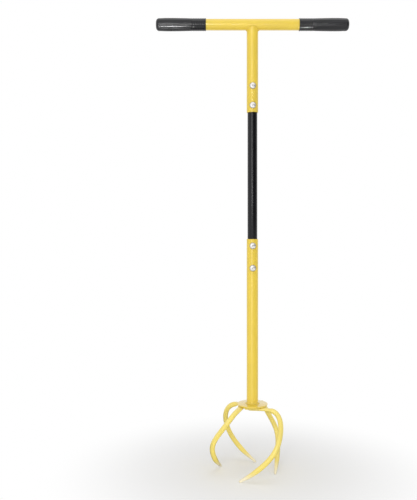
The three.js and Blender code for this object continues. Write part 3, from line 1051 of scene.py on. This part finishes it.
def carried_frames(points, up):
    """Tangent and up vectors along the points, carried without twist."""
    frames = []
    for before, after in zip(points[:1] + points, points[1:] + points[-1:]):
        tangent = (after - before).normalized()
        up = (up - tangent * up.dot(tangent)).normalized()
        frames.append((tangent, up))
    return frames


def tine_rod(claw, start, turn, level):
    """A rod pressed flat at its root and forged slimmer to a blunt rounded tip."""
    points, length = evenly(centripetal(tine_points(claw, start, turn, level)), TINE_STEPS)
    rim = math.sqrt(PLATE_RADIUS ** 2 - (claw.offset - claw.root_width / 2) ** 2)
    radius = claw.rod_diameter / 2
    stations = []
    for index, (tangent, up) in enumerate(carried_frames(points, UP)):
        along = length * index / TINE_STEPS
        from_tip = length - along
        blend = smooth(along + start - rim, radius, radius + claw.root_blend)
        forged = min(1.0, max(0.0, 1 - from_tip / claw.taper_length))
        slim = mix(radius, claw.tip_diameter / 2, forged ** claw.taper_power)
        high = mix(claw.root_thickness / 2, slim, blend)
        wide = mix(claw.root_width / 2, slim * mix(1, claw.flat_share, forged), blend)
        nose = math.sqrt(max(0.0, 1 - max(0.0, 1 - from_tip / TIP_ROUND) ** 2))
        shrink = mix(TIP_BLUNT_SHARE, 1, nose)
        left = mix(ROOT_BEVEL_SHARE, 1, smooth(along, 0, ROOT_BEVEL_LENGTH))
        centre = points[index] + up * (high * (1 - left))
        stations.append(ring_matrix(centre, tangent, up, high * shrink * left, wide * shrink))
    shape = swept(stations, TINE_FACETS)
    cut_at_ground(shape)
    return shape


def cut_at_ground(shape):
    """Leaves a tip's small worn flat on the ground."""
    made = bmesh.ops.bisect_plane(
        shape,
        geom=shape.verts[:] + shape.edges[:] + shape.faces[:],
        dist=MERGE,
        plane_co=(0, 0, 0),
        plane_no=UP,
        clear_inner=True,
    )
    edges = [item for item in made["geom_cut"] if isinstance(item, bmesh.types.BMEdge)]
    bmesh.ops.edgeloop_fill(shape, edges=edges)


def root_bead(claw, start, turn, gap, side):
    """One of the two weld beads beside a root, with its ripples."""
    end = claw.weld_share * PLATE_RADIUS
    radius = (claw.weld_width - claw.root_width) / 2 + BEAD_SINK
    across = side * (claw.root_width / 2 - BEAD_SINK) - claw.offset
    stations = []
    for step in range(BEAD_STEPS + 1):
        share = step / BEAD_STEPS
        swell = 1 + BEAD_SWELL_SHARE * math.cos(share * BEAD_RIPPLES * math.tau)
        cap = math.sqrt(max(BEAD_CAP_SHARE, 1 - abs(2 * share - 1) ** BEAD_SQUARE))
        size = radius * swell * cap
        centre = Vector((mix(start, end, share), across, PLATE_LOW.z - gap - radius * cap))
        stations.append(ring_matrix(centre, Vector((1, 0, 0)), UP, size, size))
    shape = swept(stations, BEAD_FACETS)
    move(shape, Matrix.Rotation(turn, 4, "Z"))
    return shape


class TILLER_OT_tines(bpy.types.Operator):
    """Make the claw's four forged tines with their root welds"""

    bl_idname = "tiller.tines"
    bl_label = "Tines"

    def execute(self, context):
        claw = context.scene.tiller_claw
        gap = context.scene.tiller_tubes.seat_gap
        finishes = context.scene.tiller_finishes
        colours = (finishes.tine_yellow, TINE_GLOSS, finishes.tip_cream)
        coat = finish_named("tine_powder_coat", powder_coat, *colours)
        level = PLATE_LOW.z - gap - claw.root_thickness / 2
        for order, side in enumerate(SIDES):
            more = TINE_SETS[(order + 1) % len(SIDES)] - TINE_SETS[order]
            start = root_start(claw, gap, more) - ROOT_OVERLAP
            turn = claw.turn + math.radians(TINE_SETS[order] - order * 90)
            shape = tine_rod(claw, start, turn, level)
            for hand in (1, -1):
                weld_on(shape, root_bead(claw, start, turn, gap, hand))
            settle(f"tine_{side}_rod", shape, coat, f"tine_{side}")
        return {"FINISHED"}


def to_hexagon(verts, width):
    """Moves a ring of vertices out or in to a hexagon's outline."""
    sixth = math.tau / 6
    for vert in verts:
        turn = math.atan2(vert.co.y, vert.co.x)
        reach = width / 2 / math.cos((turn + sixth / 2) % sixth - sixth / 2)
        vert.co.xy = vert.co.xy.normalized() * reach


def through_shaft(place, depth, turn):
    """Lays a fastener that stands on the Z axis into its hole, so deep and turned so far."""
    low, high = cad_box(f"washer_{place}")
    return Matrix.Translation((0, depth, (low.z + high.z) / 2)) @ Matrix.Rotation(turn, 4, "X")


def bolt_profile(sizes, length, mouth):
    """Half the section of a bolt from its end over its threads and head to its socket's mouth."""
    radius = sizes.head_diameter / 2
    shank = sizes.thread_diameter / 2
    pitch = sizes.thread_pitch
    profile = [(0, -length), (shank - pitch / 2, -length)]
    height = -length + pitch / 2
    while height < -length + THREADED_LENGTH:
        profile += [(shank, height), (shank - pitch * THREAD_DEPTH_SHARE, height + pitch / 2)]
        height += pitch
    profile += [(shank, height), (shank, 0), (radius - sizes.edge_round, 0)]
    profile += [(radius, sizes.edge_round), (radius, sizes.head_rim)]
    for step in range(1, DOME_STEPS):
        turn = step / DOME_STEPS * QUARTER_TURN
        reach = radius * math.cos(turn)
        if reach > mouth:
            profile.append((reach, mix(sizes.head_rim, sizes.head_height, math.sin(turn))))
    return profile + [(mouth, sizes.head_height)]


def make_bolt(sizes, length):
    """A bolt down the Z axis: domed head with a hex socket, threaded shank."""
    mouth = sizes.socket_width / 2 / math.cos(math.pi / 6) + sizes.edge_round
    shape = turned(bolt_profile(sizes, length, mouth), FASTENER_FACETS, closed=False)
    edges = ring_edges(shape, mouth, sizes.head_height)
    for drop in (sizes.edge_round, sizes.socket_depth):
        ring, edges = pulled(shape, edges)
        bmesh.ops.translate(shape, vec=(0, 0, -drop), verts=ring)
        to_hexagon(ring, sizes.socket_width)
    bmesh.ops.edgeloop_fill(shape, edges=edges)
    # Painted shade with some grime: a dark ring round the head's rim, the socket and the threads get the
    # recess mark
    for vert in shape.verts:
        reach = vert.co.xy.length
        shade_and_grime = 0.0
        if vert.co.z > -CLOSE:
            shade_and_grime = RIM_SHADE_AND_GRIME * smooth(reach / (sizes.head_diameter / 2), *RIM_SHADE_AND_GRIME_SPAN)
            if reach < mouth - CLOSE:
                shade_and_grime = SOCKET_SHADE_AND_GRIME
        elif reach < sizes.thread_diameter / 2 - CLOSE:
            shade_and_grime = THREAD_SHADE_AND_GRIME
        marked(shape, RECESS_MARK, [vert], shade_and_grime)
    return shape


class TILLER_OT_bolts(bpy.types.Operator):
    """Make the four domed bolts"""

    bl_idname = "tiller.bolts"
    bl_label = "Bolts"

    def execute(self, context):
        sizes = context.scene.tiller_fasteners
        for place in PLACES:
            low, high = cad_box(f"bolt_{place}")
            shape = make_bolt(sizes, high.y - low.y - sizes.head_height)
            twist = Matrix.Rotation(math.radians(BOLT_TWISTS[place]), 4, "Z")
            move(shape, through_shaft(place, low.y + sizes.head_height, QUARTER_TURN) @ twist)
            settle(f"bolt_{place}_domed", shape, plated_steel(context), f"bolt_{place}")
        return {"FINISHED"}


class TILLER_OT_washers(bpy.types.Operator):
    """Make the four plain washers"""

    bl_idname = "tiller.washers"
    bl_label = "Washers"

    def execute(self, context):
        sizes = context.scene.tiller_fasteners
        inner = sizes.thread_diameter / 2 + sizes.bore_clearance
        for place in PLACES:
            low, high = cad_box(f"washer_{place}")
            outer = (high.x - low.x) / 2
            thick = high.y - low.y
            shape = pipe(inner, outer, 0, thick, FASTENER_FACETS)
            rims = [(outer, 0), (outer, thick), (inner, 0), (inner, thick)]
            round_rings(shape, rims, sizes.edge_round, segments=2)
            move(shape, through_shaft(place, low.y, -QUARTER_TURN))
            settle(f"washer_{place}_ring", shape, plated_steel(context), f"washer_{place}")
        return {"FINISHED"}


def make_nut(sizes, bore, height):
    """A lock nut up the Z axis: a chamfered hexagon and the collar over it."""
    corner = sizes.nut_width / 2 / math.cos(math.pi / 6)
    seat = sizes.nut_width / 2 * NUT_FACE_SHARE
    collar = sizes.collar_diameter / 2
    lip = 2 * sizes.edge_round
    top = sizes.nut_height
    profile = [(bore, 0), (seat, 0), (corner, lip), (corner, top - lip), (seat, top), (collar, top)]
    profile += [(collar, height - lip), (collar - lip, height), (bore + lip, height), (bore, height - lip)]
    shape = turned(profile, FASTENER_FACETS)
    sides = [vert for vert in shape.verts if vert.co.xy.length > corner - CLOSE]
    to_hexagon(sides, sizes.nut_width)
    for vert in sides:
        drop = (vert.co.xy.length - seat) * math.tan(math.pi / 6)
        vert.co.z = drop if vert.co.z < top / 2 else top - drop
    return shape


class TILLER_OT_nuts(bpy.types.Operator):
    """Make the four lock nuts with their nylon rings"""

    bl_idname = "tiller.nuts"
    bl_label = "Lock Nuts"

    def execute(self, context):
        sizes = context.scene.tiller_fasteners
        milky = context.scene.tiller_finishes.nylon
        nylon = finish_named("lock_ring_nylon", milky_nylon, milky)
        bore = sizes.thread_diameter / 2 + sizes.bore_clearance
        thread = sizes.thread_diameter / 2 + sizes.edge_round / 4
        for place in PLACES:
            low, high = cad_box(f"nut_{place}")
            height = high.y - low.y
            shape = make_nut(sizes, bore, height)
            ring_top = height - 2 * sizes.edge_round
            ring = pipe(thread, bore, sizes.nut_height, ring_top, FASTENER_FACETS)
            for item in (shape, ring):
                move(item, through_shaft(place, low.y, -QUARTER_TURN))
            settle(f"nut_{place}_lock", shape, plated_steel(context), f"nut_{place}")
            settle(f"nut_{place}_insert", ring, nylon, f"nut_{place}")
        return {"FINISHED"}


def add_lamp(name, power):
    """One of the lamps of the table, which lights the object and isn't seen itself."""
    place, target, width, height, degrees = LAMPS[name]
    lamp = bpy.data.lights.new(f"{name}_lamp", "AREA")
    lamp.shape = "RECTANGLE"
    lamp.size = width
    lamp.size_y = height
    lamp.energy = power
    lamp.spread = math.radians(degrees)
    lit = bpy.data.objects.new(f"{name}_lamp", lamp)
    lit.location = place
    lit.rotation_euler = (Vector(target) - Vector(place)).to_track_quat("-Z", "Y").to_euler()
    lit.visible_camera = False
    lit.visible_glossy = name not in SOFT_LAMPS
    lit.visible_diffuse = name not in STREAK_LAMPS
    bpy.context.scene.collection.objects.link(lit)


def seen_directly(finish):
    """1 for camera, glossy and transmission rays, 0 for the rays that light the object."""
    path = finish.node("ShaderNodeLightPath")
    camera = Level(finish, path.outputs["Is Camera Ray"])
    glossy = Level(finish, path.outputs["Is Glossy Ray"])
    clear = Level(finish, path.outputs["Is Transmission Ray"])
    return finish.sum("ADD", camera, glossy + clear, clamp=True)


def mixed_shader(finish, share, first, second):
    inputs = {0: share, 1: first.outputs[0], 2: second.outputs[0]}
    return {"Surface": finish.node("ShaderNodeMixShader", None, inputs).outputs[0]}


def pale_floor(studio):
    """A pale matt floor that fades into the white backdrop away from the tiller."""
    material, finish = new_finish("studio_floor")
    across, along, _ = finish.axes()
    distance = (across ** 2 + along ** 2) ** 0.5
    faded = finish.span(distance, studio.floor_clear, studio.floor_clear + studio.floor_fade)
    tone = finish.drifting(finish.noise(6), studio.floor_colour, 0.99, 1.01)
    matt = finish.node("ShaderNodeBsdfDiffuse", None, {"Color": tone})
    white = finish.node("ShaderNodeEmission", None, {"Color": WHITE, "Strength": 1.0})
    shown = mixed_shader(finish, faded * seen_directly(finish), matt, white)
    finish.node("ShaderNodeOutputMaterial", None, shown)
    return material


def white_world(studio):
    """A world that shows white and lights the object evenly."""
    world = bpy.data.worlds.new("studio_world")
    world.use_nodes = True
    finish = Finish(world.node_tree)
    light, white = (
        finish.node("ShaderNodeBackground", None, {"Color": WHITE, "Strength": strength})
        for strength in (studio.ambient, 1.0)
    )
    shown = mixed_shader(finish, seen_directly(finish), light, white)
    finish.node("ShaderNodeOutputWorld", None, shown)
    bpy.context.scene.world = world


def stage_piece(name, shape, material):
    """A bmesh as a piece of the stage."""
    mesh = bpy.data.meshes.new(name)
    shape.to_mesh(mesh)
    shape.free()
    mesh.materials.append(material)
    piece = bpy.data.objects.new(name, mesh)
    bpy.context.scene.collection.objects.link(piece)
    return piece


def only_mirrored(piece):
    """Leaves a piece to the reflections: not seen, no shadow, no light."""
    piece.visible_camera = False
    piece.visible_diffuse = False
    piece.visible_shadow = False


def black_felt():
    """Matt black felt with a faint nap."""
    material, finish = new_finish("card_felt")
    nap = finish.noise(60, detail=3)
    tone = finish.blend(nap, FELT_DARK, FELT_PALE)
    finish.surface(Base_Color=tone, Roughness=0.9 + nap * 0.05, Specular_IOR_Level=0.1)
    return material


def disc(radius, facets, centre):
    """A flat round sheet."""
    shape = bmesh.new()
    bmesh.ops.create_circle(shape, cap_ends=True, segments=facets, radius=radius)
    bmesh.ops.translate(shape, vec=centre, verts=shape.verts)
    return shape


def add_cards():
    """Black cards that only gloss meets: they darken the tubes' right side and the handle's underside."""
    felt = black_felt()
    tall = bmesh.new()
    bmesh.ops.create_grid(tall, x_segments=1, y_segments=1, size=0.5)
    move(tall, Matrix.Rotation(QUARTER_TURN, 4, "X"))
    move(tall, Matrix.Diagonal((TALL_CARD_WIDTH, 1, TALL_CARD_HEIGHT, 1)))
    move(tall, Matrix.Translation((0, -TALL_CARD_DISTANCE, TALL_CARD_LEVEL)))
    move(tall, Matrix.Rotation(math.radians(TALL_CARD_DEGREES), 4, "Z"))
    only_mirrored(stage_piece("right_card", tall, felt))
    flat = disc(ROUND_CARD_RADIUS, ROUND_CARD_FACETS, ROUND_CARD_PLACE)
    only_mirrored(stage_piece("floor_card", flat, felt))


class TILLER_OT_studio(bpy.types.Operator):
    """Set up the floor, the lamps, the cards, the world and the camera"""

    bl_idname = "tiller.studio"
    bl_label = "Studio"

    def execute(self, context):
        studio = context.scene.tiller_studio
        ground = disc(FLOOR_RADIUS, FLOOR_FACETS, (0, 0, -FLOOR_GAP))
        stage_piece("studio_floor", ground, pale_floor(studio))
        add_cards()
        white_world(studio)
        for name in LAMPS:
            add_lamp(name, getattr(studio, f"{name}_power"))
        lens = bpy.data.cameras.new("studio_camera")
        lens.sensor_width = SENSOR_WIDTH
        lens.lens = studio.lens
        lens.shift_y = studio.horizon_shift
        camera = bpy.data.objects.new("studio_camera", lens)
        camera.location = studio.camera_place
        camera.rotation_euler = (QUARTER_TURN, 0, 0)
        context.scene.collection.objects.link(camera)
        context.scene.camera = camera
        context.scene.view_settings.view_transform = "Standard"
        return {"FINISHED"}


class TILLER_PT_panel(bpy.types.Panel):
    """Lists the tiller's pieces in the sidebar"""

    bl_idname = "TILLER_PT_panel"
    bl_label = "Twist Tiller"
    bl_space_type = "VIEW_3D"
    bl_region_type = "UI"
    bl_category = "Tiller"

    def draw(self, context):
        for operator in OPERATORS:
            self.layout.operator(operator.bl_idname)
        for owner in GROUPS:
            group = getattr(context.scene, owner)
            box = self.layout.box()
            for name in group.__annotations__:
                box.prop(group, name)


GROUPS = {
    "tiller_tubes": TillerTubeSizes,
    "tiller_grips": TillerGripSizes,
    "tiller_claw": TillerClawSizes,
    "tiller_fasteners": TillerFastenerSizes,
    "tiller_finishes": TillerFinishes,
    "tiller_studio": TillerStudio,
}
OPERATORS = (
    TILLER_OT_crossbar,
    TILLER_OT_grips,
    TILLER_OT_upper_stem,
    TILLER_OT_middle_tube,
    TILLER_OT_lower_tube,
    TILLER_OT_hub_plate,
    TILLER_OT_tines,
    TILLER_OT_bolts,
    TILLER_OT_washers,
    TILLER_OT_nuts,
    TILLER_OT_studio,
)


def register():
    for group in GROUPS.values():
        bpy.utils.register_class(group)
    for owner, group in GROUPS.items():
        setattr(bpy.types.Scene, owner, bpy.props.PointerProperty(type=group))
    for operator in OPERATORS:
        bpy.utils.register_class(operator)
    bpy.utils.register_class(TILLER_PT_panel)


def unregister():
    bpy.utils.unregister_class(TILLER_PT_panel)
    for operator in reversed(OPERATORS):
        bpy.utils.unregister_class(operator)
    for owner in GROUPS:
        delattr(bpy.types.Scene, owner)
    for group in reversed(GROUPS.values()):
        bpy.utils.unregister_class(group)


def main():
    register()
    for operator in OPERATORS:
        module, name = operator.bl_idname.split(".")
        getattr(getattr(bpy.ops, module), name)()


if __name__ == "__main__":
    main()
